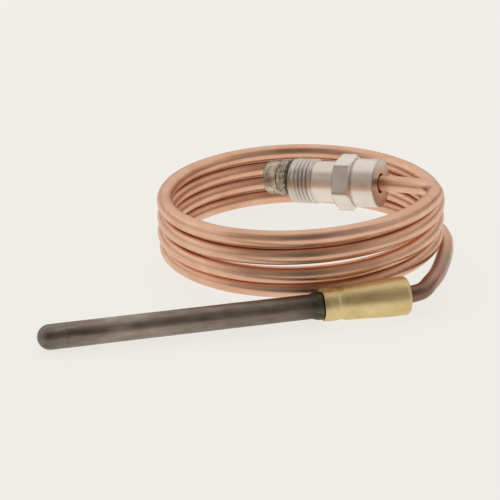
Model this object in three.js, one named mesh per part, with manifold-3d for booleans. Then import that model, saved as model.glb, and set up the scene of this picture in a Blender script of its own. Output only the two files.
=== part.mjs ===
// Gas safety thermocouple with a coiled copper lead, lying on a flat surface.
// Units are millimetres, +Z is up, and the origin is the middle of the footprint.
// The probe lies at the front with its tip towards -X, the lead is wound in a flat coil
// behind it, and the connection nut stands inside the coil on the end of the lead.
import * as THREE from "three";
import { mergeVertices } from "three/addons/utils/BufferGeometryUtils.js";
import Module from "manifold-3d";

const wasm = await Module();
wasm.setup();

// ---- driving dimensions -------------------------------------------------------------

// Places in the coil's own frame: its axis is x = y = 0 and the floor is z = 0.
const COIL_CENTRE = new THREE.Vector3(7.6961, 7.57, 0.013);

// Lead: 1/8 in copper tube with an insulated conductor inside.
const LEAD_RADIUS = 3.175 / 2;
const LEAD_BORE_RADIUS = 1.14;
const LEAD_SIDES = 8;
const INSULATION = { inner: 0.58, outer: 0.82, sides: 6 };
const CONDUCTOR = { radius: 0.3, sides: 6 };

// Coil: turns stacked one lead diameter apart, leaning a little to one side.
const COIL_RADIUS = 25.6;
const COIL_PITCH = 3.2;
const COIL_BASE = 1.26;
const COIL_LEAN_X = 0.041;
const COIL_LEAN_Y = -0.0077;
const COIL_TURNS = 4;
const STATIONS_PER_TURN = 24;
const COIL_START_DEG = 10;
const COIL_END_DEG = -17.5;
const START_FLARE = { degrees: 63, radius: 3.3 };
const FRONT_TUCK = { degrees: 250, reach: 105, radius: 1.1 };
const END_RISE = { degrees: 40, height: 0.05 };
const MIDDLE_GAP = { from: 720, degrees: 285, reach: 75, above: 0.3, below: 0.16 };

// Bend at the end of the top turn, from the coil into the straight run to the nut.
const BEND_CORNER = new THREE.Vector3(24.8, -4.3, 14.95);
const BEND_END = new THREE.Vector3(22, -2.25, 14.42);
const BEND_STEPS = 8;
const RUN_STEPS = 6;

// Probe axis: from the tip to the rear end of the mounting sleeve.
const PROBE_TIP = new THREE.Vector3(-44.7, -40.61, 2.16);
const PROBE_END = new THREE.Vector3(18.54, -26.55, 3.49);

// Stations along the probe, measured from the tip.
const PROBE = {
  radius: 2.15,
  stepRadius: 1.8,
  bore: 1.45,
  capEnd: 4.75,
  capSocket: 3.4,
  tubeStart: 5.05,
  stepStart: 46.55,
  tubeEnd: 55.25,
  collarStart: 46.85,
  collarEnd: 48.35,
  sleeveStart: 48.65,
  neckEnd: 51.35,
  bodyStart: 52.25,
  cavityStart: 55.85,
  cavityEnd: 62.05,
  sleeveEnd: 64.05,
  rodStart: 3.7,
  rodEnd: 56.45,
  wireStart: 58.25,
  leadStart: 59.25,
  coverStart: 59.85,
};

// Nut axis: a point on it level with the contact face, and its direction towards the
// lead. The nut hangs on the lead, so the contact sits a little above the nut's axis.
const CONTACT_FACE = new THREE.Vector3(-5.88, 11.65, 10.565);
const NUT_YAW_DEG = 24.9;
const NUT_RISE_DEG = 7.1;
const CONTACT_LIFT = 0.5;
const HEX_FACE_NORMAL = new THREE.Vector3(-0.437, -0.81, 0.391);

// Stations along the nut axis, measured from the contact face.
const END = {
  buttonEnd: 3.0,
  stemEnd: 8.0,
  washerStart: 3.3,
  washerEnd: 5.0,
  flangeStart: 5.3,
  flangeEnd: 6.35,
  nutStart: 5.75,
  tubeEnd: 7.6,
  conductorEnd: 8.3,
  coverEnd: 8.9,
  ferruleEnd: 11.0,
  runStart: 24.2,
};

// Nut: 11/32-32 thread, 3/8 in hexagon and a plain collar.
const NUT = {
  threadRadius: 8.73 / 2,
  threadPitch: 25.4 / 32,
  threadDepth: 0.42,
  threads: 6,
  threadEnd: 4.85,
  shankRadius: 3.95,
  hexStart: 9.55,
  hexEnd: 12.95,
  acrossFlats: 9.525,
  collarRadius: 4.6,
  length: 17.8,
  seatRadius: 3.7,
  seatDepth: 1.0,
  pocketRadius: 3.1,
  pocketEnd: 11.5,
  boreRadius: 2.0,
};

const ROUND = 24; // sides of a turned piece
const FINE_ROUND = 32; // sides of the larger turned pieces

// ---- materials ------------------------------------------------------------------------

const finish = (color, roughness, metalness) =>
  new THREE.MeshStandardMaterial({ color, roughness, metalness });
const materials = {
  copper: finish(0xc98a68, 0.32, 1),
  steel: finish(0x4a423b, 0.55, 0.8),
  brass: finish(0xb09457, 0.38, 1),
  nickel: finish(0xb3aaa2, 0.35, 1),
  alloy: finish(0x8d8a83, 0.45, 1),
  ceramic: finish(0xd8d2c4, 0.8, 0),
  fibre: finish(0x8b857c, 0.9, 0),
};

// ---- shapes -----------------------------------------------------------------------------

// A piece turned about local +Y from [radius, station] corners; the loop closes on itself
// or on the axis.
function turned(corners, sides = ROUND) {
  const loop = corners.map(([radius, station]) => new THREE.Vector2(radius, station));
  if (corners[0][0] > 0) loop.push(loop[0].clone());
  return new THREE.LatheGeometry(loop, sides);
}

// A plain ring or tube from one station to another.
function ring(inner, outer, from, to, sides = ROUND) {
  return turned([[inner, from], [outer, from], [outer, to], [inner, to]], sides);
}

// A plain round bar, closed on the axis at both ends.
function bar(radius, from, to, sides = ROUND) {
  return turned([[0, from], [radius, from], [radius, to], [0, to]], sides);
}

function solid(geometry) {
  const bare = new THREE.BufferGeometry();
  bare.setAttribute("position", geometry.getAttribute("position"));
  if (geometry.index) bare.setIndex(geometry.index);
  const merged = mergeVertices(bare, 1e-4);
  const mesh = new wasm.Mesh({
    numProp: 3,
    vertProperties: merged.attributes.position.array,
    triVerts: new Uint32Array(merged.index.array),
  });
  return new wasm.Manifold(mesh);
}

function geometryOf(manifold) {
  const mesh = manifold.getMesh();
  const geometry = new THREE.BufferGeometry();
  geometry.setAttribute("position", new THREE.BufferAttribute(mesh.vertProperties, 3));
  geometry.setIndex(new THREE.BufferAttribute(mesh.triVerts, 1));
  const flat = geometry.toNonIndexed();
  flat.computeVertexNormals();
  return flat;
}

function piece(name, geometry, material) {
  const mesh = new THREE.Mesh(geometry, material);
  mesh.name = name;
  return mesh;
}

// A curve through given stations, one extrusion step from each to the next, with the
// section on the bisector at every corner.
class StationPath extends THREE.Curve {
  constructor(stations) {
    super();
    this.stations = stations;
  }
  get steps() {
    return this.stations.length - 1;
  }
  getPoint(t, target = new THREE.Vector3()) {
    const at = Math.min(Math.round(t * this.steps), this.steps);
    return target.copy(this.stations[at]);
  }
  getPointAt(t, target) {
    return this.getPoint(t, target);
  }
  getTangentAt(t, target = new THREE.Vector3()) {
    const at = Math.min(Math.round(t * this.steps), this.steps);
    const run = (i) => this.stations[i + 1].clone().sub(this.stations[i]).normalize();
    const before = run(Math.max(at - 1, 0));
    const after = run(Math.min(at, this.steps - 1));
    return target.copy(before).add(after).normalize();
  }
}

function circle(radius, sides) {
  const corner = (i) => (2 * Math.PI * (i + 0.5)) / sides;
  return Array.from(
    { length: sides },
    (_, i) => new THREE.Vector2(radius * Math.cos(corner(i)), radius * Math.sin(corner(i))),
  );
}

// A round section swept along stations, hollow where an inner radius is given.
function swept(stations, outer, inner, sides) {
  const section = new THREE.Shape(circle(outer, sides));
  if (inner > 0) section.holes.push(new THREE.Path(circle(inner, sides)));
  const path = new StationPath(stations);
  return new THREE.ExtrudeGeometry(section, { steps: path.steps, extrudePath: path });
}

// ---- the probe ------------------------------------------------------------------------------

const probeAxis = PROBE_END.clone().sub(PROBE_TIP).normalize();
const onProbe = (station) => PROBE_TIP.clone().addScaledVector(probeAxis, station);

function hotJunctionCap() {
  const { radius, capEnd, capSocket } = PROBE;
  const dome = Array.from({ length: 7 }, (_, i) => {
    const angle = (i * Math.PI) / 12;
    return [radius * Math.sin(angle), radius * (1 - Math.cos(angle))];
  });
  return turned([...dome, [radius, capEnd], [0.95, capEnd], [0.95, capSocket], [0, capSocket]]);
}

function outerElementTube() {
  const { radius, stepRadius, bore, tubeStart, stepStart, tubeEnd } = PROBE;
  return turned([
    [bore, tubeStart],
    [radius, tubeStart],
    [radius, stepStart],
    [stepRadius, stepStart],
    [stepRadius, tubeEnd],
    [bore, tubeEnd],
  ]);
}

function mountingSleeve() {
  const { sleeveStart, neckEnd, bodyStart, cavityStart, cavityEnd, sleeveEnd } = PROBE;
  return turned(
    [
      [2.1, sleeveStart],
      [2.7, sleeveStart],
      [2.85, sleeveStart + 0.15],
      [2.87, neckEnd],
      [2.74, neckEnd + 0.15],
      [2.74, bodyStart - 0.2],
      [2.98, bodyStart],
      [3.44, sleeveEnd - 2.4],
      [3.44, sleeveEnd - 0.9],
      [3.2, sleeveEnd - 0.25],
      [2.7, sleeveEnd],
      [1.9, sleeveEnd],
      [1.9, cavityEnd],
      [2.75, cavityEnd],
      [2.75, cavityStart],
      [2.1, cavityStart],
    ],
    FINE_ROUND,
  );
}

function probe() {
  const { tubeStart, tubeEnd, rodStart, rodEnd, collarStart, collarEnd } = PROBE;
  const { wireStart, cavityEnd } = PROBE;
  const group = new THREE.Group();
  group.position.copy(PROBE_TIP);
  group.quaternion.setFromUnitVectors(new THREE.Vector3(0, 1, 0), probeAxis);
  group.add(
    piece("hot_junction_cap", hotJunctionCap(), materials.steel),
    piece("outer_element_tube", outerElementTube(), materials.steel),
    piece("inner_element_rod", bar(0.6, rodStart, rodEnd, 12), materials.alloy),
    piece("element_insulator", ring(0.9, 1.15, tubeStart + 0.55, tubeEnd - 0.6, 12), materials.ceramic),
    piece("sheath_collar", ring(2.1, 2.55, collarStart, collarEnd), materials.steel),
    piece("mounting_sleeve", mountingSleeve(), materials.brass),
    piece("cold_junction_bead", bar(0.65, rodEnd + 0.3, wireStart - 0.3, 12), materials.alloy),
    piece(
      "cold_junction_insulator",
      ring(0.95, 1.55, tubeEnd + 0.4, wireStart + 0.6, 16),
      materials.ceramic,
    ),
    piece(
      "cold_junction_ferrule",
      ring(1.9, 2.4, wireStart - 0.5, cavityEnd - 0.4, 16),
      materials.alloy,
    ),
  );
  return group;
}

// ---- the lead --------------------------------------------------------------------------------

const nutAxis = new THREE.Vector3(
  Math.cos(THREE.MathUtils.degToRad(NUT_YAW_DEG)),
  -Math.sin(THREE.MathUtils.degToRad(NUT_YAW_DEG)),
  Math.tan(THREE.MathUtils.degToRad(NUT_RISE_DEG)),
).normalize();
const onNutAxis = (station) => CONTACT_FACE.clone().addScaledVector(nutAxis, station);
const aboveNutAxis = new THREE.Vector3(0, 0, 1).projectOnPlane(nutAxis).normalize();
const atContact = (station) => onNutAxis(station).addScaledVector(aboveNutAxis, CONTACT_LIFT);

// The lead's way from the sleeve round to where the first turn of the coil begins.
const TAIL_POINTS = [
  [20.5, -25.6, 3.8],
  [22.2, -22.8, 4.05],
  [23.9, -18.6, 3.75],
  [25.3, -13.7, 3.35],
  [26.5, -8.7, 3.0],
  [27.4, -3.9, 2.72],
  [27.85, 0.6, 2.5],
];

// The coil's centreline at an angle counted round from +X, in degrees: the first turn
// closes in from the tail and tucks under its neighbour at the front, the upper two turns
// stand a little off the lower two there, and the last one lifts before the bend.
function onCoil(degrees) {
  const end = 360 * COIL_TURNS + COIL_END_DEG;
  const rise = END_RISE.height * THREE.MathUtils.smoothstep(degrees, end - END_RISE.degrees, end);
  const closing = Math.max(0, 1 - degrees / START_FLARE.degrees) ** 2;
  const aside = Math.abs(degrees - FRONT_TUCK.degrees);
  const share = THREE.MathUtils.smoothstep(FRONT_TUCK.reach - aside, 0, FRONT_TUCK.reach);
  const radius = COIL_RADIUS + START_FLARE.radius * closing - FRONT_TUCK.radius * share;
  const { from, reach, above, below } = MIDDLE_GAP;
  const fromGap = Math.abs((degrees % 360) - MIDDLE_GAP.degrees);
  const gapShare = THREE.MathUtils.smoothstep(reach - fromGap, 0, reach);
  const gap = (degrees > from ? above : -below) * gapShare;
  const angle = THREE.MathUtils.degToRad(degrees);
  const x = radius * Math.cos(angle);
  const y = radius * Math.sin(angle);
  const climb = (COIL_PITCH * degrees) / 360 + rise + gap;
  return new THREE.Vector3(x, y, COIL_BASE + climb + COIL_LEAN_X * x + COIL_LEAN_Y * y);
}

function coilStations() {
  const sweep = 360 * COIL_TURNS + COIL_END_DEG - COIL_START_DEG;
  const count = Math.round((sweep / 360) * STATIONS_PER_TURN);
  return Array.from({ length: count + 1 }, (_, i) => onCoil(COIL_START_DEG + (sweep * i) / count));
}

function tailStations() {
  const points = TAIL_POINTS.map((point) => new THREE.Vector3(...point));
  const start = onProbe(PROBE.sleeveEnd + 0.1);
  const join = [COIL_START_DEG, COIL_START_DEG + 15].map(onCoil);
  const curve = new THREE.CatmullRomCurve3([start, ...points, ...join]);
  const spaced = curve.getSpacedPoints(20);
  const reached = (point) => point.distanceTo(join[0]) > 1 && point.y < join[0].y;
  return spaced.filter(reached);
}

function bendStations() {
  const last = onCoil(360 * COIL_TURNS + COIL_END_DEG);
  const bend = new THREE.QuadraticBezierCurve3(last, BEND_CORNER, BEND_END);
  const heading = BEND_END.clone().sub(BEND_CORNER).normalize();
  const run = new THREE.CubicBezierCurve3(
    BEND_END,
    BEND_END.clone().addScaledVector(heading, 2.4),
    onNutAxis(END.runStart + 2.4),
    onNutAxis(END.runStart),
  );
  return [...bend.getPoints(BEND_STEPS).slice(1), ...run.getPoints(RUN_STEPS).slice(1)];
}

// The lead's centreline between a station in the sleeve and one at the contact.
function leadStations(sleeveStation, endStation) {
  return [
    onProbe(sleeveStation),
    ...tailStations(),
    ...coilStations(),
    ...bendStations(),
    atContact(END.ferruleEnd + 0.4),
    atContact(endStation),
  ];
}

function lead() {
  const group = new THREE.Group();
  const tube = leadStations(PROBE.leadStart, END.tubeEnd);
  const cover = leadStations(PROBE.coverStart, END.coverEnd);
  const wire = leadStations(PROBE.wireStart, END.conductorEnd);
  const { inner, outer, sides } = INSULATION;
  group.add(
    piece("lead_tube", swept(tube, LEAD_RADIUS, LEAD_BORE_RADIUS, LEAD_SIDES), materials.copper),
    piece("lead_insulation", swept(cover, outer, inner, sides), materials.fibre),
    piece("lead_conductor", swept(wire, CONDUCTOR.radius, 0, CONDUCTOR.sides), materials.alloy),
  );
  return group;
}

// ---- the connection end -----------------------------------------------------------------------

function contactButton() {
  const { buttonEnd, stemEnd } = END;
  return turned([
    [0, 0],
    [2.5, 0],
    [2.95, 0.2],
    [3.15, 0.6],
    [3.2, 1.1],
    [3.2, buttonEnd - 0.2],
    [3.0, buttonEnd],
    [0.55, buttonEnd],
    [0.55, stemEnd],
    [0, stemEnd],
  ]);
}

function leadFerrule() {
  const { flangeStart, flangeEnd, ferruleEnd, tubeEnd } = END;
  return turned([
    [1.5, flangeStart],
    [2.8, flangeStart],
    [3.0, flangeStart + 0.2],
    [3.0, flangeEnd],
    [2.35, flangeEnd],
    [2.35, ferruleEnd],
    [1.9, ferruleEnd],
    [1.9, tubeEnd - 0.3],
    [1.5, tubeEnd - 0.3],
  ]);
}

// Thread crests and roots as plain rings, from the nut's front face to the shank.
function threadCorners() {
  const { threadRadius, threadDepth, threadPitch, threads } = NUT;
  const root = threadRadius - threadDepth;
  const crests = Array.from({ length: threads }, (_, i) => [
    [threadRadius, (i + 0.42) * threadPitch],
    [threadRadius, (i + 0.58) * threadPitch],
    [root, (i + 1) * threadPitch],
  ]);
  return [[root, 0], ...crests.flat()];
}

function connectionNut() {
  const { threadEnd, shankRadius, hexStart, hexEnd, acrossFlats, collarRadius, length } = NUT;
  const body = solid(
    turned(
      [
        [0, 0],
        ...threadCorners(),
        [shankRadius, threadEnd + 0.1],
        [shankRadius, hexStart + 0.5],
        [collarRadius, hexStart + 0.6],
        [collarRadius, length - 0.3],
        [collarRadius - 0.3, length],
        [0, length],
      ],
      FINE_ROUND,
    ),
  );
  const corner = acrossFlats / Math.sqrt(3);
  const flats = new THREE.CylinderGeometry(corner, corner, hexEnd - hexStart, 6);
  flats.rotateY(Math.PI / 6);
  flats.translate(0, (hexStart + hexEnd) / 2, 0);
  const chamfered = turned(
    [
      [0, hexStart - 0.1],
      [corner - 0.4, hexStart - 0.1],
      [corner + 0.1, hexStart + 0.3],
      [corner + 0.1, hexEnd - 0.7],
      [collarRadius, hexEnd + 0.1],
      [0, hexEnd + 0.1],
    ],
    FINE_ROUND,
  );
  const hexagon = solid(flats).intersect(solid(chamfered));
  const seat = solid(bar(NUT.seatRadius, -1, NUT.seatDepth));
  const pocket = solid(bar(NUT.pocketRadius, -1, NUT.pocketEnd));
  const bore = solid(bar(NUT.boreRadius, -1, length + 1));
  return geometryOf(body.add(hexagon).subtract(seat).subtract(pocket).subtract(bore));
}

function connectionEnd() {
  const { washerStart, washerEnd, flangeStart, tubeEnd, nutStart } = END;
  const across = new THREE.Vector3().crossVectors(nutAxis, HEX_FACE_NORMAL).normalize();
  const faceNormal = new THREE.Vector3().crossVectors(across, nutAxis);
  const turn = new THREE.Matrix4().makeBasis(across, nutAxis, faceNormal);
  const nut = piece("connection_nut", connectionNut(), materials.nickel);
  nut.position.copy(onNutAxis(nutStart));
  nut.quaternion.setFromRotationMatrix(turn);
  const contact = new THREE.Group();
  contact.position.copy(atContact(0));
  contact.quaternion.copy(nut.quaternion);
  contact.add(
    piece("contact_button", contactButton(), materials.nickel),
    piece("insulating_washer", ring(0.85, 3.6, washerStart, washerEnd), materials.fibre),
    piece("contact_bush", ring(0.85, 1.2, flangeStart, tubeEnd - 0.35, 12), materials.ceramic),
    piece("lead_ferrule", leadFerrule(), materials.nickel),
  );
  return [nut, contact];
}

// ---- assembly ------------------------------------------------------------------------------------

const thermocouple = new THREE.Group();
thermocouple.position.copy(COIL_CENTRE);
thermocouple.add(probe(), lead(), ...connectionEnd());

export default thermocouple;
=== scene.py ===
import math

import bmesh
import bpy
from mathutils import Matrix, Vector, kdtree, noise


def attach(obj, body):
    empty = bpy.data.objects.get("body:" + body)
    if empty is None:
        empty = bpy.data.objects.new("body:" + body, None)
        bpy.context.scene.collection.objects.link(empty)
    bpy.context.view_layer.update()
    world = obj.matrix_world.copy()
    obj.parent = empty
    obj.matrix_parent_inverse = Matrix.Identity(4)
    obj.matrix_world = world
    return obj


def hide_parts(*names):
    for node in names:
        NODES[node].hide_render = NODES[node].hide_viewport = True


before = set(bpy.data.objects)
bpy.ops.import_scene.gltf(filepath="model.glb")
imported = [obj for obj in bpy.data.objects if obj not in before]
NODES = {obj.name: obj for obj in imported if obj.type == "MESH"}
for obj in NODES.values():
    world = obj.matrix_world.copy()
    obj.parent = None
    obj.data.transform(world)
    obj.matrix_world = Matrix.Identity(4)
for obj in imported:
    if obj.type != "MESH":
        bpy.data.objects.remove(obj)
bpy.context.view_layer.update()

MM = 0.001

# Lengths are in millimetres in the coil's own frame until place() puts them in the row's.
COIL_CENTRE = Vector((7.6961, 7.57, 0.013))


def place(point):
    """A point of the coil's frame, in millimetres, as a point of the row frame in metres."""
    return (Vector(point) + COIL_CENTRE) * MM


# ---- camera ---------------------------------------------------------------------------

CAMERA_DROP_DEG = 23.44
CAMERA_AT = (-9.522, -247.72, 107.88)
CAMERA_LENS = 101.19
camera_data = bpy.data.cameras.new("camera")
camera_data.sensor_width = 36
camera_data.lens = CAMERA_LENS
camera_data.clip_start = 0.01
camera_data.clip_end = 20
camera = bpy.data.objects.new("camera", camera_data)
bpy.context.scene.collection.objects.link(camera)
camera.location = place(CAMERA_AT)
camera.rotation_euler = (math.radians(90 - CAMERA_DROP_DEG), 0, 0)
bpy.context.scene.camera = camera

# ---- axes of the probe and the nut ------------------------------------------------------

PROBE_TIP = Vector((-44.7, -40.61, 2.16))
PROBE_END = Vector((18.54, -26.55, 3.49))
SLEEVE_END = 64.05
PROBE_AXIS = (PROBE_END - PROBE_TIP).normalized()

CONTACT_FACE = Vector((-5.88, 11.65, 10.565))
NUT_YAW = math.radians(24.9)
NUT_RISE = math.radians(7.1)
NUT_AXIS = Vector((math.cos(NUT_YAW), -math.sin(NUT_YAW), math.tan(NUT_RISE))).normalized()
HEX_FACE_NORMAL = Vector((-0.437, -0.81, 0.391))
NUT_START = 5.75
CONTACT_LIFT = 0.5
TUBE_START = 59.25
TUBE_END = 7.6


def on_probe(station):
    return PROBE_TIP + PROBE_AXIS * station


def on_nut(station):
    return CONTACT_FACE + NUT_AXIS * station


def at_contact(station):
    """The contact pieces sit a little above the nut's axis, because the nut hangs on them."""
    above = (Vector((0, 0, 1)) - NUT_AXIS * NUT_AXIS.z).normalized()
    return on_nut(station) + above * CONTACT_LIFT


# ---- meshes -------------------------------------------------------------------------------


def new_object(name, bm, body, sharp_deg=32):
    bmesh.ops.recalc_face_normals(bm, faces=bm.faces)
    mesh = bpy.data.meshes.new(name)
    bm.to_mesh(mesh)
    bm.free()
    for polygon in mesh.polygons:
        polygon.use_smooth = True
    mesh.set_sharp_from_angle(angle=math.radians(sharp_deg))
    piece = bpy.data.objects.new(name, mesh)
    bpy.context.scene.collection.objects.link(piece)
    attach(piece, body)
    return piece


def skin(bm, rings, loop=False):
    """Faces between rings of points; a ring of one point is a pole. loop closes last to first."""
    made = [[bm.verts.new(p) for p in ring] for ring in rings]
    pairs = list(zip(made, made[1:]))
    if loop:
        pairs.append((made[-1], made[0]))
    for low, high in pairs:
        count = max(len(low), len(high))
        for i in range(count):
            j = (i + 1) % count
            corners = [
                low[i % len(low)],
                low[j % len(low)],
                high[j % len(high)],
                high[i % len(high)],
            ]
            corners = list(dict.fromkeys(corners))
            if len(corners) > 2:
                bm.faces.new(corners)
    return made


FILLET_STEPS = 4


def fillet(corners):
    """(station, radius, round) corners as a finer profile, with each corner rounded off."""
    out = []
    for i, corner in enumerate(corners):
        at = Vector(corner[:2])
        size = corner[2] if len(corner) > 2 else 0
        if size == 0 or i in (0, len(corners) - 1):
            out.append(tuple(at))
            continue
        before = Vector(corners[i - 1][:2]) - at
        after = Vector(corners[i + 1][:2]) - at
        size = min(size, before.length * 0.49, after.length * 0.49)
        first, last = at + before.normalized() * size, at + after.normalized() * size
        for k in range(FILLET_STEPS + 1):
            t = k / FILLET_STEPS
            out.append(tuple(first * (1 - t) ** 2 + at * (2 * t * (1 - t)) + last * t * t))
    return out


def subdivided(profile, step):
    """Extra points where two neighbours of a profile are further apart than step."""
    out = [profile[0]]
    for a, b in zip(profile, profile[1:]):
        n = max(1, math.ceil(math.dist(a, b) / step))
        out += [(a[0] + (b[0] - a[0]) * k / n, a[1] + (b[1] - a[1]) * k / n) for k in range(1, n + 1)]
    return out


class Axis:
    """Cylinder coordinates about a piece's axis: station along it, angle from its up side."""

    def __init__(self, start, direction, up=(0, 0, 1)):
        self.start = start
        self.along = direction
        self.side = direction.cross(Vector(up)).normalized()
        self.up = self.side.cross(direction).normalized()

    def point(self, station, radius, angle):
        across = self.up * math.cos(angle) + self.side * math.sin(angle)
        return place(self.start + self.along * station + across * radius)

    def ring(self, station, radius, sides, shape=None):
        if radius < 1e-6:
            return [self.point(station, 0, 0)]
        ring = []
        for i in range(sides):
            angle = 2 * math.pi * i / sides
            dent = shape(station, radius, angle) if shape else 0
            ring.append(self.point(station, radius + dent, angle))
        return ring

    def turned(self, name, profile, body, sides=72, shape=None, loop=False):
        bm = bmesh.new()
        skin(bm, [self.ring(s, r, sides, shape) for s, r in profile], loop)
        return new_object(name, bm, body)


PROBE = Axis(PROBE_TIP, PROBE_AXIS)
NUT = Axis(CONTACT_FACE, NUT_AXIS, HEX_FACE_NORMAL)
CONTACT = Axis(at_contact(0), NUT_AXIS, HEX_FACE_NORMAL)

# ---- the lead's centreline, as in the CAD ---------------------------------------------------

COIL_RADIUS = 25.6
COIL_PITCH = 3.2
COIL_BASE = 1.26
COIL_LEAN_X = 0.041
COIL_LEAN_Y = -0.0077
COIL_TURNS = 4
COIL_START_DEG = 10
COIL_END_DEG = -17.5
START_FLARE_DEG, START_FLARE = 63, 3.3
FRONT_TUCK_DEG, FRONT_TUCK_REACH, FRONT_TUCK = 250, 105, 1.1
END_RISE_DEG, END_RISE = 40, 0.05
UPPER_GAP_FROM, UPPER_GAP_DEG, UPPER_GAP_REACH = 720, 285, 75
UPPER_GAP, LOWER_GAP = 0.3, 0.16
BEND_CORNER = Vector((24.8, -4.3, 14.95))
BEND_END = Vector((22, -2.25, 14.42))
RUN_START = 24.2
RUN_EASE = 2.4
FERRULE_END = 11.0
TAIL_POINTS = [
    (20.5, -25.6, 3.8),
    (22.2, -22.8, 4.05),
    (23.9, -18.6, 3.75),
    (25.3, -13.7, 3.35),
    (26.5, -8.7, 3.0),
    (27.4, -3.9, 2.72),
    (27.85, 0.6, 2.5),
]


def smooth(value, low, high):
    t = min(max((value - low) / (high - low), 0), 1)
    return t * t * (3 - 2 * t)


def on_coil(degrees):
    end = 360 * COIL_TURNS + COIL_END_DEG
    rise = END_RISE * smooth(degrees, end - END_RISE_DEG, end)
    closing = max(0, 1 - degrees / START_FLARE_DEG) ** 2
    aside = abs(degrees - FRONT_TUCK_DEG)
    tuck = FRONT_TUCK * smooth(FRONT_TUCK_REACH - aside, 0, FRONT_TUCK_REACH)
    radius = COIL_RADIUS + START_FLARE * closing - tuck
    gap_aside = abs(degrees % 360 - UPPER_GAP_DEG)
    gap = UPPER_GAP if degrees > UPPER_GAP_FROM else -LOWER_GAP
    gap *= smooth(UPPER_GAP_REACH - gap_aside, 0, UPPER_GAP_REACH)
    x = radius * math.cos(math.radians(degrees))
    y = radius * math.sin(math.radians(degrees))
    climb = COIL_PITCH * degrees / 360 + rise + gap
    return Vector((x, y, COIL_BASE + climb + COIL_LEAN_X * x + COIL_LEAN_Y * y))


def through(points, spacing):
    """Points along a centripetal Catmull-Rom curve through the given ones."""
    ends = [points[0] * 2 - points[1], *points, points[-1] * 2 - points[-2]]
    out = []
    for a, b, c, d in zip(ends, ends[1:], ends[2:], ends[3:]):
        t = [0]
        for p, q in ((a, b), (b, c), (c, d)):
            t.append(t[-1] + math.sqrt((q - p).length))
        count = max(2, math.ceil((c - b).length / spacing))
        for k in range(count):
            at = t[1] + (t[2] - t[1]) * k / count
            mix = lambda p, q, i, j: p.lerp(q, (at - t[i]) / (t[j] - t[i]))
            ab, bc, cd = mix(a, b, 0, 1), mix(b, c, 1, 2), mix(c, d, 2, 3)
            out.append(mix(mix(ab, bc, 0, 2), mix(bc, cd, 1, 3), 1, 2))
    return out + [points[-1]]


def bezier(points, count):
    """Points along a Bezier curve with these control points, without its first."""
    out = []
    for k in range(1, count + 1):
        row = list(points)
        while len(row) > 1:
            row = [a.lerp(b, k / count) for a, b in zip(row, row[1:])]
        out.append(row[0])
    return out


def lead_line():
    tail = [on_probe(SLEEVE_END + 0.1), *[Vector(p) for p in TAIL_POINTS], on_coil(COIL_START_DEG)]
    end = 360 * COIL_TURNS + COIL_END_DEG
    count = math.ceil((end - COIL_START_DEG) / 4)
    coil = [on_coil(COIL_START_DEG + (end - COIL_START_DEG) * i / count) for i in range(count + 1)]
    heading = (BEND_END - BEND_CORNER).normalized()
    bend = bezier([coil[-1], BEND_CORNER, BEND_END], 18)
    run = [
        BEND_END,
        BEND_END + heading * RUN_EASE,
        on_nut(RUN_START + RUN_EASE),
        on_nut(RUN_START),
    ]
    inside = FERRULE_END + 0.4
    slant = [on_nut(RUN_START).lerp(at_contact(inside), k / 12) for k in range(1, 13)]
    end_run = [at_contact(inside + (TUBE_END - inside) * k / 4) for k in range(1, 5)]
    start = [on_probe(TUBE_START + 0.8 * k) for k in range(6)]
    return start + through(tail, 0.9)[:-1] + coil + bend + bezier(run, 9) + slant + end_run


LINE = lead_line()
ALONG = [0.0]
for a, b in zip(LINE, LINE[1:]):
    ALONG.append(ALONG[-1] + (b - a).length)
LEAD_SIDES = 28
DRAWN_RADIUS = 1.5


# Painted shade darkens the lead where another run of it is close, in the grooves between turns. Points of
# the lead less than OWN_REACH apart along it belong to one run, and the distances are to the other run's
# centreline.
OWN_REACH = 20
GROOVE_SHADE_SEARCH = 2.6
GROOVE_SHADE_FULL, GROOVE_SHADE_NONE = 1.6, 1.95


def touching():
    """A function of a point and its place along the lead: 1 where another run of it lies close."""
    tree = kdtree.KDTree(len(LINE))
    for i, at in enumerate(LINE):
        tree.insert(at, i)
    tree.balance()

    def share(point, own):
        found = tree.find_range(point, GROOVE_SHADE_SEARCH)
        near = [distance for _, i, distance in found if abs(ALONG[i] - own) > OWN_REACH]
        return 1 - smooth(min(near, default=GROOVE_SHADE_SEARCH), GROOVE_SHADE_FULL, GROOVE_SHADE_NONE)

    return share


def make_lead():
    bm = bmesh.new()
    contact = bm.verts.layers.float.new("contact")
    close_to = touching()
    along = bm.verts.layers.float.new("along")
    around = bm.verts.layers.float.new("around")
    tangents = []
    for i in range(len(LINE)):
        before = LINE[i] - LINE[max(i - 1, 0)]
        after = LINE[min(i + 1, len(LINE) - 1)] - LINE[i]
        tangents.append((before.normalized() + after.normalized()).normalized())
    up = tangents[0].orthogonal().normalized()
    rings = []
    for i, at in enumerate(LINE):
        up = (up - tangents[i] * up.dot(tangents[i])).normalized()
        side = tangents[i].cross(up)
        ring = []
        for k in range(LEAD_SIDES):
            angle = 2 * math.pi * k / LEAD_SIDES
            wave = noise.noise(Vector((ALONG[i] * 0.09, math.cos(angle), math.sin(angle))))
            across = up * math.cos(angle) + side * math.sin(angle)
            ring.append(place(at + across * (DRAWN_RADIUS + 0.015 * wave)))
        rings.append(ring)
    made = skin(bm, [[place(LINE[0])], *rings, [place(LINE[-1])]])
    for i, ring in enumerate(made[1:-1]):
        for k, vertex in enumerate(ring):
            vertex[along] = ALONG[i]
            vertex[around] = math.cos(2 * math.pi * k / LEAD_SIDES)
            # contact is 1 where another turn lies close; the copper material paints shade there.
            vertex[contact] = close_to(vertex.co / MM - COIL_CENTRE, ALONG[i])
    return new_object("copper_lead", bm, "probe_and_lead")


lead = make_lead()
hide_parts("lead_tube")

# ---- the probe --------------------------------------------------------------------------------

TIP_RADIUS = 2.15


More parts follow.
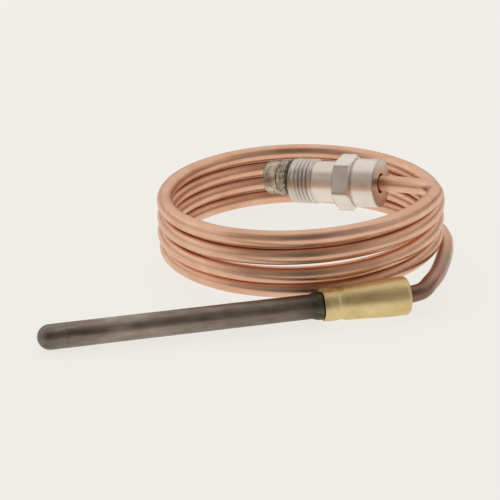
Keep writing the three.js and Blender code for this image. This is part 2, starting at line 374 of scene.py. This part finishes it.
def make_cap():
    dome = []
    for k in range(11):
        angle = math.pi / 2 * k / 10
        dome.append((TIP_RADIUS * (1 - math.cos(angle)), TIP_RADIUS * math.sin(angle)))
    profile = dome + fillet([(2.3, TIP_RADIUS), (4.9, TIP_RADIUS, 0.04), (4.9, 1.2), (4.0, 0)])
    piece = PROBE.turned("sheath_tip", subdivided(profile, 0.6), "probe_and_lead")
    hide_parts("hot_junction_cap")
    return piece


def make_sheath():
    corners = [
        (4.92, 1.5),
        (4.92, TIP_RADIUS, 0.04),
        (46.6, TIP_RADIUS),
        (46.6, 1.8),
        (55.25, 1.8),
        (55.25, 1.45),
    ]
    piece = PROBE.turned(
        "sheath_tube",
        subdivided(fillet(corners), 1.2),
        "probe_and_lead",
        shape=lambda s, r, a: 0.012 * noise.noise(Vector((s * 0.2, a, 3))),
        loop=True,
    )
    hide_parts("outer_element_tube")
    return piece


def make_collar():
    corners = [
        (46.62, 2.0),
        (46.62, TIP_RADIUS),
        (47.9, 2.46, 0.9),
        (48.5, 2.53, 0.25),
        (48.9, 2.2),
        (48.9, 2.0),
    ]
    piece = PROBE.turned(
        "sheath_band",
        fillet(corners),
        "probe_and_lead",
        shape=lambda s, r, a: 0.05 * noise.noise(Vector((s, math.cos(a) * 2, math.sin(a) * 2))),
        loop=True,
    )
    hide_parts("sheath_collar")
    return piece


def sleeve_dents(station, radius, angle):
    if radius < 2.4:
        return 0
    low = noise.noise(Vector((station * 0.35, math.cos(angle) * 1.2, math.sin(angle) * 1.2)))
    torn = math.exp(-(((station - 49.4) / 0.8) ** 2)) * max(0, math.cos(angle)) ** 2
    bits = noise.noise(Vector((station * 2.2, angle * 3, 1)))
    return 0.03 * low + 0.16 * torn * bits


def make_sleeve():
    corners = [
        (49.1, 2.1),
        (49.1, 2.35, 0.1),
        (48.66, 2.74, 0.12),
        (49.3, 2.88, 0.3),
        (51.15, 2.88, 0.3),
        (51.5, 2.75, 0.12),
        (51.95, 2.75, 0.15),
        (52.4, 2.98, 0.3),
        (57.0, 3.22, 1.0),
        (61.4, 3.42, 0.8),
        (SLEEVE_END, 3.42, 1.0),
        (SLEEVE_END, 1.9, 0.15),
        (62.05, 1.9),
        (62.05, 2.7),
        (55.85, 2.7),
        (55.85, 2.1),
    ]
    piece = PROBE.turned(
        "brass_sleeve",
        subdivided(fillet(corners), 0.5),
        "probe_and_lead",
        sides=96,
        shape=sleeve_dents,
        loop=True,
    )
    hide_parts("mounting_sleeve")
    return piece


tip = make_cap()
sheath = make_sheath()
band = make_collar()
sleeve = make_sleeve()

# ---- the connection end -------------------------------------------------------------------------

THREAD_PITCH = 25.4 / 32
THREAD_END = 4.85
THREAD_RADIUS = 8.73 / 2
THREAD_DEPTH = 0.3
SHANK_RADIUS = 3.95
HEX_START, HEX_END = 9.55, 12.35
ACROSS_FLATS = 9.525
COLLAR_RADIUS = 4.6
NUT_LENGTH = 17.8


def thread_height(phase):
    """0 at a root, 1 at a crest, for a 60 degree thread with flats at both."""
    slope = 1 - abs((phase % 1) * 2 - 1)
    return min(1, max(0, (slope - 0.14) / 0.62))


def nut_radius(station, angle):
    """The nut's outer radius at a station from its front face."""
    if station <= THREAD_END:
        start = smooth(station, -0.1, 0.55)
        fade = 1 - smooth(station, THREAD_END - 0.45, THREAD_END)
        cut = (1 - thread_height(station / THREAD_PITCH - angle / (2 * math.pi))) * THREAD_DEPTH
        cut *= 0.5 + 0.5 * smooth(station, 0.2, 2.6)
        return THREAD_RADIUS - 0.42 * (1 - start) - cut * fade * (0.25 + 0.75 * start)
    if station < HEX_START:
        ease = smooth(station, HEX_START - 0.16, HEX_START)
        return SHANK_RADIUS + 0.06 * ease
    if station <= HEX_END + 0.62:
        turn = math.pi / 3
        flat = ACROSS_FLATS / 2 / math.cos((angle + turn / 2) % turn - turn / 2)
        front = ACROSS_FLATS / 2 + 0.12 + (station - HEX_START) * 2.6
        back = COLLAR_RADIUS + 0.05 + (HEX_END + 0.62 - station) * 1.45
        return min(flat, front, back, ACROSS_FLATS / math.sqrt(3) - 0.06)
    return COLLAR_RADIUS - 0.1 * smooth(station, NUT_LENGTH - 0.16, NUT_LENGTH)


def painted_shade_strength(station, angle):
    """How dark the painted shade is, 0 to 1: in the thread and in thin lines round the hexagon and rim."""
    if station <= THREAD_END:
        root = 1 - thread_height(station / THREAD_PITCH - angle / (2 * math.pi))
        line = 0.5 * root**2 * smooth(station, 0.2, 2.6)
        return (0.26 + line) * (1 - smooth(station, THREAD_END - 0.5, THREAD_END))
    turn = math.pi / 3
    corner = abs(abs((angle + turn / 2) % turn - turn / 2) - turn / 2)
    if abs(station - HEX_START) < 0.09:
        return 1
    if HEX_START < station < HEX_END + 0.3 and corner < 0.04:
        return 0.4
    behind = station - HEX_END - 0.62
    if 0 < behind < 0.3:
        return 0.7
    if NUT_LENGTH - 0.22 < station:
        return 0.5
    return 0


def nut_stations():
    stations = [0.02 + THREAD_END * i / 74 for i in range(75)]
    stations += [THREAD_END + 0.12 + 0.4 * i for i in range(12)]
    stations += [HEX_START - 0.12, HEX_START - 0.01, HEX_START + 0.01]
    stations += [HEX_START + 0.06 + 0.09 * i for i in range(39)]
    stations += [HEX_END + 0.615, HEX_END + 0.64]
    stations += [HEX_END + 0.9 + 0.4 * i for i in range(10)]
    stations += [NUT_LENGTH - 0.4 + 0.08 * i for i in range(6)]
    return sorted(s for s in stations if s <= NUT_LENGTH)


def make_nut():
    sides = 180
    angles = [2 * math.pi * i / sides for i in range(sides)]
    bm = bmesh.new()
    painted_shade = bm.verts.layers.float.new("painted_shade")
    stations = nut_stations()
    rings = []
    for station in stations:
        rings.append([NUT.point(NUT_START + station, nut_radius(station, a), a) for a in angles])
    inner = fillet(
        [
            (NUT_LENGTH, 4.4),
            (NUT_LENGTH, 1.85, 0.15),
            (NUT_LENGTH - 1.2, 2.0),
            (11.5, 2.0),
            (11.5, 3.1),
            (1.0, 3.1),
            (1.0, 3.7),
            (0, 3.7, 0.06),
            (0, 3.85),
        ]
    )
    rings += [NUT.ring(NUT_START + s, r, sides) for s, r in inner[1:]]
    made = skin(bm, rings, loop=True)
    for station, ring in zip(stations, made):
        for angle, vertex in zip(angles, ring):
            # Painted shade in the thread roots and in dark lines round the hexagon, its steps and the rim.
            vertex[painted_shade] = painted_shade_strength(station, angle)
    piece = new_object("threaded_nut", bm, "nut", sharp_deg=28)
    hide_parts("connection_nut")
    return piece


def make_button():
    corners = [
        (0, 0),
        (0, 2.5, 0.3),
        (0.25, 3.0, 0.3),
        (0.9, 3.2, 0.4),
        (3.0, 3.2, 0.25),
        (3.0, 0.55),
        (8.0, 0.55),
        (8.0, 0),
    ]
    piece = CONTACT.turned(
        "contact_tip",
        subdivided(fillet(corners), 0.5),
        "probe_and_lead",
        shape=lambda s, r, a: 0.0 if r < 1 else 0.035 * noise.noise(
            Vector((s * 0.8, math.cos(a) * 1.7, math.sin(a) * 1.7))
        ),
    )
    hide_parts("contact_button")
    return piece


def make_washer():
    corners = [(3.2, 0.85), (3.2, 3.4, 0.2), (4.1, 3.6, 0.4), (5.0, 3.5, 0.2), (5.0, 0.85)]

    def rough(station, radius, angle):
        if radius < 2:
            return 0
        at = Vector((station * 2.2, math.cos(angle) * 6, math.sin(angle) * 6))
        return 0.2 * noise.noise(at * 0.6) + 0.1 * noise.noise(at * 1.7)

    piece = CONTACT.turned(
        "mica_washer",
        subdivided(fillet(corners), 0.16),
        "probe_and_lead",
        sides=144,
        shape=rough,
        loop=True,
    )
    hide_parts("insulating_washer")
    return piece


def make_ferrule():
    corners = [
        (5.3, 1.5),
        (5.3, 3.0, 0.2),
        (6.3, 3.0, 0.2),
        (6.3, 2.35),
        (11.0, 2.35),
        (11.0, 1.9),
        (7.3, 1.9),
        (7.3, 1.5),
    ]
    piece = CONTACT.turned("lead_end_ferrule", fillet(corners), "probe_and_lead", loop=True)
    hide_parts("lead_ferrule")
    return piece


nut = make_nut()
button = make_button()
washer = make_washer()
ferrule = make_ferrule()

place(on_probe(SLEEVE_END))
[place(p) for p in LINE]

# ---- materials ---------------------------------------------------------------------------------------


class Nodes:
    """A material's nodes, made with short calls."""

    def __init__(self, name, metallic=1.0):
        self.material = bpy.data.materials.new(name)
        self.material.use_nodes = True
        self.tree = self.material.node_tree
        self.shader = self.tree.nodes["Principled BSDF"]
        self.shader.inputs["Metallic"].default_value = metallic

    def add(self, kind, **settings):
        node = self.tree.nodes.new(kind)
        for key, value in settings.items():
            setattr(node, key, value)
        return node

    def link(self, output, target):
        self.tree.links.new(output, target)

    def local(self, scale=(1, 1, 1), rotation=(0, 0, 0)):
        """Object coordinates in millimetres, turned and then stretched."""
        source = self.add("ShaderNodeTexCoord").outputs["Object"]
        turn = self.add("ShaderNodeMapping")
        turn.inputs["Rotation"].default_value = rotation
        turn.inputs["Scale"].default_value = (1000, 1000, 1000)
        self.link(source, turn.inputs["Vector"])
        stretch = self.add("ShaderNodeMapping")
        stretch.inputs["Scale"].default_value = scale
        self.link(turn.outputs["Vector"], stretch.inputs["Vector"])
        return stretch.outputs["Vector"]

    def noise(self, vector, scale, detail, roughness):
        node = self.add("ShaderNodeTexNoise")
        node.inputs["Scale"].default_value = scale
        node.inputs["Detail"].default_value = detail
        node.inputs["Roughness"].default_value = roughness
        self.link(vector, node.inputs["Vector"])
        return node.outputs["Fac"]

    def ramp(self, value, stops):
        node = self.add("ShaderNodeValToRGB")
        elements = node.color_ramp.elements
        while len(elements) < len(stops):
            elements.new(0.5)
        for element, (position, colour) in zip(elements, stops):
            element.position = position
            element.color = (*colour, 1) if len(colour) == 3 else colour
        self.link(value, node.inputs["Fac"])
        return node.outputs["Color"]

    def math(self, operation, a, b=0.0):
        node = self.add("ShaderNodeMath", operation=operation)
        for socket, value in zip(node.inputs, (a, b)):
            if isinstance(value, (int, float)):
                socket.default_value = value
            else:
                self.link(value, socket)
        return node.outputs["Value"]

    def between(self, value, low, high):
        node = self.add("ShaderNodeMapRange")
        node.inputs["From Min"].default_value = 0.3
        node.inputs["From Max"].default_value = 0.7
        node.inputs["To Min"].default_value = low
        node.inputs["To Max"].default_value = high
        self.link(value, node.inputs["Value"])
        return node.outputs["Result"]

    def mix(self, factor, a, b, blend="MIX"):
        node = self.add("ShaderNodeMix", data_type="RGBA", blend_type=blend)
        for key, value in (("Factor", factor), ("A", a), ("B", b)):
            socket = next(s for s in node.inputs if s.name == key and s.enabled)
            if isinstance(value, (int, float)):
                socket.default_value = value
            elif isinstance(value, tuple):
                socket.default_value = (*value, 1)
            else:
                self.link(value, socket)
        return next(s for s in node.outputs if s.enabled)

    def attribute(self, name):
        return self.add("ShaderNodeAttribute", attribute_name=name).outputs["Fac"]

    def bump(self, height, distance):
        node = self.add("ShaderNodeBump")
        node.inputs["Strength"].default_value = 1.0
        node.inputs["Distance"].default_value = distance * MM
        self.link(height, node.inputs["Height"])
        self.link(node.outputs["Normal"], self.shader.inputs["Normal"])

    def colour(self, output):
        self.link(output, self.shader.inputs["Base Color"])

    def rough(self, output):
        self.link(output, self.shader.inputs["Roughness"])


def dress(piece, nodes):
    piece.data.materials.clear()
    piece.data.materials.append(nodes.material)


def axis_turn(direction):
    """Rotation that lays a piece's axis along X in its texture coordinates."""
    return direction.rotation_difference(Vector((1, 0, 0))).to_euler()


COPPER_BLOTCHES = [
    (0.32, (0.78, 0.44, 0.285)),
    (0.50, (0.90, 0.545, 0.375)),
    (0.70, (0.96, 0.65, 0.495)),
]
COPPER_STREAKS = [
    (0.28, (0.70, 0.39, 0.26)),
    (0.50, (0.84, 0.50, 0.345)),
    (0.75, (0.90, 0.60, 0.45)),
]
# Brazing heat has tinted the lead for HEAT_REACH mm from the sleeve. The stops are shares of it.
HEAT_REACH = 40.0
HEAT_WANDER = 7.0
HEAT_TINTS = [
    (0.12, (0.22, 0.138, 0.099)),
    (0.20, (0.264, 0.16, 0.116)),
    (0.30, (0.462, 0.231, 0.176)),
    (0.42, (0.418, 0.231, 0.176)),
    (0.50, (0.429, 0.264, 0.193)),
    (0.60, (0.418, 0.275, 0.171)),
    (0.74, (0.517, 0.286, 0.182)),
    (0.95, (0.80, 0.47, 0.33)),
]
# Colour of the painted shade in the grooves between the lead's turns.
GROOVE_SHADE_COLOUR = (0.20, 0.10, 0.06)


def copper():
    m = Nodes("copper_tube")
    along, around = m.attribute("along"), m.attribute("around")
    combine = m.add("ShaderNodeCombineXYZ")
    m.link(along, combine.inputs["X"])
    m.link(around, combine.inputs["Y"])
    place_on = m.add("ShaderNodeMapping")
    place_on.inputs["Scale"].default_value = (0.06, 1.4, 1)
    m.link(combine.outputs["Vector"], place_on.inputs["Vector"])
    streaks = m.noise(place_on.outputs["Vector"], 4, 6, 0.62)
    object_space = m.local()
    blotch = m.noise(object_space, 0.16, 4, 0.6)
    grain = m.noise(object_space, 3.2, 5, 0.7)
    base = m.ramp(blotch, COPPER_BLOTCHES)
    fine = m.ramp(streaks, COPPER_STREAKS)
    clean = m.mix(0.45, base, fine)
    shade = m.ramp(grain, [(0.35, (0.89, 0.89, 0.89)), (0.65, (1, 1, 1))])
    clean = m.mix(1.0, clean, shade, "MULTIPLY")
    wobble = m.math("MULTIPLY", m.math("SUBTRACT", streaks, 0.5), HEAT_WANDER)
    heat = m.math("DIVIDE", m.math("ADD", along, wobble), HEAT_REACH)
    tint = m.ramp(heat, HEAT_TINTS)
    burnt = m.ramp(heat, [(0.55, (1, 1, 1)), (0.95, (0, 0, 0))])
    metal = m.mix(burnt, clean, tint)
    # Painted shade in the grooves where the lead's turns touch.
    groove_shade = m.math("MULTIPLY", m.attribute("contact"), 0.64)
    m.colour(m.mix(groove_shade, metal, GROOVE_SHADE_COLOUR))
    m.rough(m.between(streaks, 0.28, 0.40))
    m.bump(grain, 0.012)
    return m


# Colour of the painted shade in the nut's thread and in lines round its hexagon and steps.
PAINTED_SHADE_COLOUR = (0.07, 0.055, 0.04)


def turned_metal(
    name, direction, stops, rough, lines=0.006, blotch_scale=0.3, lathe_share=0.25, painted_shade=False
):
    """Turned metal: blotches of colour, and fine lathe lines round the piece's axis."""
    m = Nodes(name)
    turn = axis_turn(direction)
    lathe = m.noise(m.local((1, 0.04, 0.04), turn), 5.5, 5, 0.7)
    blotch = m.noise(m.local((0.5, 1, 1), turn), blotch_scale, 5, 0.62)
    both = m.math(
        "ADD", m.math("MULTIPLY", lathe, lathe_share), m.math("MULTIPLY", blotch, 1 - lathe_share)
    )
    colour = m.ramp(both, stops)
    if painted_shade:
        # Darkens the colour by the mesh attribute: painted shade in the nut's thread and hexagon lines.
        colour = m.mix(m.math("MULTIPLY", m.attribute("painted_shade"), 0.7), colour, PAINTED_SHADE_COLOUR)
    m.colour(colour)
    m.rough(m.between(both, *rough))
    m.bump(lathe, lines)
    return m


def rough_metal(name, stops, rough, scale, bump):
    m = Nodes(name)
    value = m.noise(m.local(), scale, 7, 0.7)
    m.colour(m.ramp(value, stops))
    m.rough(m.between(value, *rough))
    m.bump(value, bump)
    return m


# The probe's tone along it. The stops are shares of SHEATH_SPAN mm from the tip.
SHEATH_SPAN = 50.0
SHEATH_WANDER = 5.0
SHEATH_TONES = [
    (0.02, (0.60, 0.61, 0.62)),
    (0.13, (0.79, 0.79, 0.80)),
    (0.24, (1.0, 1.0, 1.0)),
    (0.36, (1.0, 1.0, 1.0)),
    (0.52, (0.80, 0.80, 0.80)),
    (0.68, (0.73, 0.72, 0.71)),
    (0.86, (0.63, 0.62, 0.59)),
    (0.95, (0.28, 0.27, 0.23)),
]


def sheath_steel():
    m = Nodes("oxidised_steel")
    turn = axis_turn(PROBE_AXIS)
    streak = m.noise(m.local((0.12, 1, 1), turn), 1.6, 6, 0.65)
    blotch = m.noise(m.local((0.6, 1, 1), turn), 0.35, 4, 0.6)
    both = m.math("ADD", m.math("MULTIPLY", streak, 0.5), m.math("MULTIPLY", blotch, 0.5))
    colour = m.ramp(
        both,
        [
            (0.30, (0.215, 0.171, 0.138)),
            (0.46, (0.312, 0.253, 0.206)),
            (0.58, (0.398, 0.338, 0.283)),
            (0.70, (0.58, 0.518, 0.454)),
        ],
    )
    scratch_at = m.local((0.9, 0.9, 0.9), turn)
    scratches = m.add("ShaderNodeTexVoronoi", feature="DISTANCE_TO_EDGE")
    scratches.inputs["Scale"].default_value = 0.28
    m.link(scratch_at, scratches.inputs["Vector"])
    line = m.ramp(scratches.outputs["Distance"], [(0.0, (1, 1, 1)), (0.012, (0, 0, 0))])
    scratched = m.mix(m.math("MULTIPLY", line, 0.18), colour, (0.40, 0.37, 0.33))
    split = m.add("ShaderNodeSeparateXYZ")
    m.link(m.local((1, 1, 1), turn), split.inputs["Vector"])
    start = (PROBE_TIP + COIL_CENTRE).dot(PROBE_AXIS)
    wander = m.math("MULTIPLY", m.math("SUBTRACT", streak, 0.5), SHEATH_WANDER)
    station = m.math("ADD", m.math("SUBTRACT", split.outputs["X"], start), wander)
    tone = m.ramp(m.math("DIVIDE", station, SHEATH_SPAN), SHEATH_TONES)
    m.colour(m.mix(1.0, scratched, tone, "MULTIPLY"))
    m.rough(m.between(both, 0.34, 0.5))
    m.bump(streak, 0.012)
    return m


def plain(name, stops, scale, rough, bump=0.02, metallic=0.0):
    m = Nodes(name, metallic)
    value = m.noise(m.local(), scale, 5, 0.65)
    m.colour(m.ramp(value, stops))
    m.rough(m.between(value, *rough))
    m.bump(value, bump)
    return m


NUT_STOPS = [
    (0.30, (0.76, 0.67, 0.59)),
    (0.50, (0.86, 0.78, 0.70)),
    (0.70, (0.94, 0.88, 0.81)),
]
BRASS_STOPS = [
    (0.34, (0.66, 0.50, 0.235)),
    (0.46, (0.76, 0.59, 0.29)),
    (0.56, (0.80, 0.63, 0.33)),
    (0.68, (0.85, 0.70, 0.42)),
]

dress(lead, copper())
steel = sheath_steel()
for piece in (tip, sheath):
    dress(piece, steel)
dress(
    band,
    rough_metal(
        "burnt_steel",
        [(0.30, (0.06, 0.053, 0.038)), (0.5, (0.11, 0.097, 0.072)), (0.72, (0.19, 0.165, 0.13))],
        (0.38, 0.55),
        0.9,
        0.05,
    ),
)
dress(
    sleeve,
    turned_metal(
        "satin_brass",
        PROBE_AXIS,
        BRASS_STOPS,
        (0.36, 0.48),
        lines=0.002,
        blotch_scale=0.42,
        lathe_share=0.12,
    ),
)
dress(nut, turned_metal("nickel_plate", NUT_AXIS, NUT_STOPS, (0.27, 0.38), lines=0.003, painted_shade=True))
dress(
    button,
    rough_metal(
        "tinned_contact",
        [
            (0.36, (0.24, 0.20, 0.14)),
            (0.48, (0.47, 0.39, 0.30)),
            (0.58, (0.72, 0.58, 0.46)),
            (0.68, (0.86, 0.77, 0.63)),
        ],
        (0.3, 0.5),
        0.55,
        0.05,
    ),
)
dress(
    washer,
    plain(
        "bonded_mica",
        [(0.34, (0.13, 0.10, 0.07)), (0.48, (0.42, 0.35, 0.26)), (0.62, (0.92, 0.82, 0.70))],
        1.9,
        (0.6, 0.85),
        0.09,
    ),
)
dress(ferrule, turned_metal("plated_ferrule", NUT_AXIS, NUT_STOPS, (0.3, 0.42)))



def two_tone(name, dark, light, *looks):
    """A plain material that goes from one colour to the other."""
    return plain(name, [(0.3, dark), (0.7, light)], *looks)


ALLOY = two_tone(
    "element_alloy_metal", (0.34, 0.33, 0.31), (0.5, 0.48, 0.45), 0.8, (0.3, 0.45), 0.01, 1.0
)
CERAMIC = two_tone("alumina", (0.70, 0.67, 0.60), (0.82, 0.79, 0.73), 1.6, (0.6, 0.8))
BRAID = two_tone("glass_weave", (0.56, 0.52, 0.44), (0.78, 0.74, 0.66), 2.6, (0.8, 0.95), 0.05)
WIRE = two_tone(
    "drawn_copper", (0.58, 0.32, 0.22), (0.74, 0.46, 0.34), 1.2, (0.25, 0.4), 0.01, 1.0
)
INNER_BRASS = two_tone(
    "inner_brass", (0.42, 0.32, 0.17), (0.6, 0.48, 0.28), 0.9, (0.3, 0.45), 0.01, 1.0
)
INNER_LOOKS = {
    "inner_element_rod": ALLOY,
    "cold_junction_bead": ALLOY,
    "element_insulator": CERAMIC,
    "cold_junction_insulator": CERAMIC,
    "contact_bush": CERAMIC,
    "cold_junction_ferrule": INNER_BRASS,
    "lead_insulation": BRAID,
    "lead_conductor": WIRE,
}
for name, look in INNER_LOOKS.items():
    dress(NODES[name], look)

# ---- floor and light ------------------------------------------------------------------------------------

FLOOR_SIZE = 4.0
FLOOR_DROP = 0.00005


def make_floor():
    bm = bmesh.new()
    half = FLOOR_SIZE / 2
    corners = ((-half, -half, 0), (half, -half, 0), (half, half, 0), (-half, half, 0))
    bm.faces.new([bm.verts.new(p) for p in corners])
    mesh = bpy.data.meshes.new("floor")
    bm.to_mesh(mesh)
    bm.free()
    floor = bpy.data.objects.new("floor", mesh)
    bpy.context.scene.collection.objects.link(floor)
    floor.location.z = -FLOOR_DROP
    m = Nodes("pale_floor", 0.0)
    m.shader.inputs["Base Color"].default_value = (0.16, 0.155, 0.148, 1)
    m.shader.inputs["Roughness"].default_value = 0.9
    m.shader.inputs["Specular IOR Level"].default_value = 0.1
    m.shader.inputs["Emission Color"].default_value = (1.0, 0.98, 0.93, 1)
    m.shader.inputs["Emission Strength"].default_value = 0.77
    dress(floor, m)


make_floor()


def soft_light(name, location, size, power):
    """A rectangular light, sized and placed in metres, that faces the object."""
    data = bpy.data.lights.new(name, "AREA")
    data.shape = "RECTANGLE"
    data.size, data.size_y = size
    data.energy = power
    light = bpy.data.objects.new(name, data)
    bpy.context.scene.collection.objects.link(light)
    light.location = location
    light.rotation_euler = (-Vector(location)).to_track_quat("-Z", "Y").to_euler()


soft_light("sky_light", (0, 0.55, 0.75), (2.4, 1.7), 6.2)
soft_light("left_light", (-0.9, 0.1, 0.44), (1.1, 0.6), 1.05)
soft_light("right_light", (0.9, -0.1, 0.5), (0.9, 0.6), 0.38)

# The surround is dim in front of the object and brighter on the other sides.
SURROUND_FRONT, SURROUND_REST = 0.10, 0.35
FRONT_HALF_WIDTH = (0.12, 0.45)
FRONT_DEPTH = (-0.7, -0.3)


def make_surround():
    world = bpy.data.worlds.new("studio")
    world.use_nodes = True
    tree = world.node_tree
    background = tree.nodes["Background"]
    background.inputs["Color"].default_value = (1.0, 0.92, 0.84, 1)
    direction = tree.nodes.new("ShaderNodeTexCoord").outputs["Generated"]
    split = tree.nodes.new("ShaderNodeSeparateXYZ")
    tree.links.new(direction, split.inputs["Vector"])
    aside = tree.nodes.new("ShaderNodeMath")
    aside.operation = "ABSOLUTE"
    tree.links.new(split.outputs["X"], aside.inputs[0])
    brighter = tree.nodes.new("ShaderNodeMath")
    brighter.operation = "MAXIMUM"
    edges = ((aside.outputs["Value"], FRONT_HALF_WIDTH), (split.outputs["Y"], FRONT_DEPTH))
    for k, (value, (start, end)) in enumerate(edges):
        share = tree.nodes.new("ShaderNodeMapRange")
        share.interpolation_type = "SMOOTHSTEP"
        share.inputs["From Min"].default_value = start
        share.inputs["From Max"].default_value = end
        share.inputs["To Min"].default_value = SURROUND_FRONT
        share.inputs["To Max"].default_value = SURROUND_REST
        tree.links.new(value, share.inputs["Value"])
        tree.links.new(share.outputs["Result"], brighter.inputs[k])
    tree.links.new(brighter.outputs["Value"], background.inputs["Strength"])
    bpy.context.scene.world = world


make_surround()
bpy.context.scene.view_settings.view_transform = "Standard"
bpy.context.scene.view_settings.look = "None"
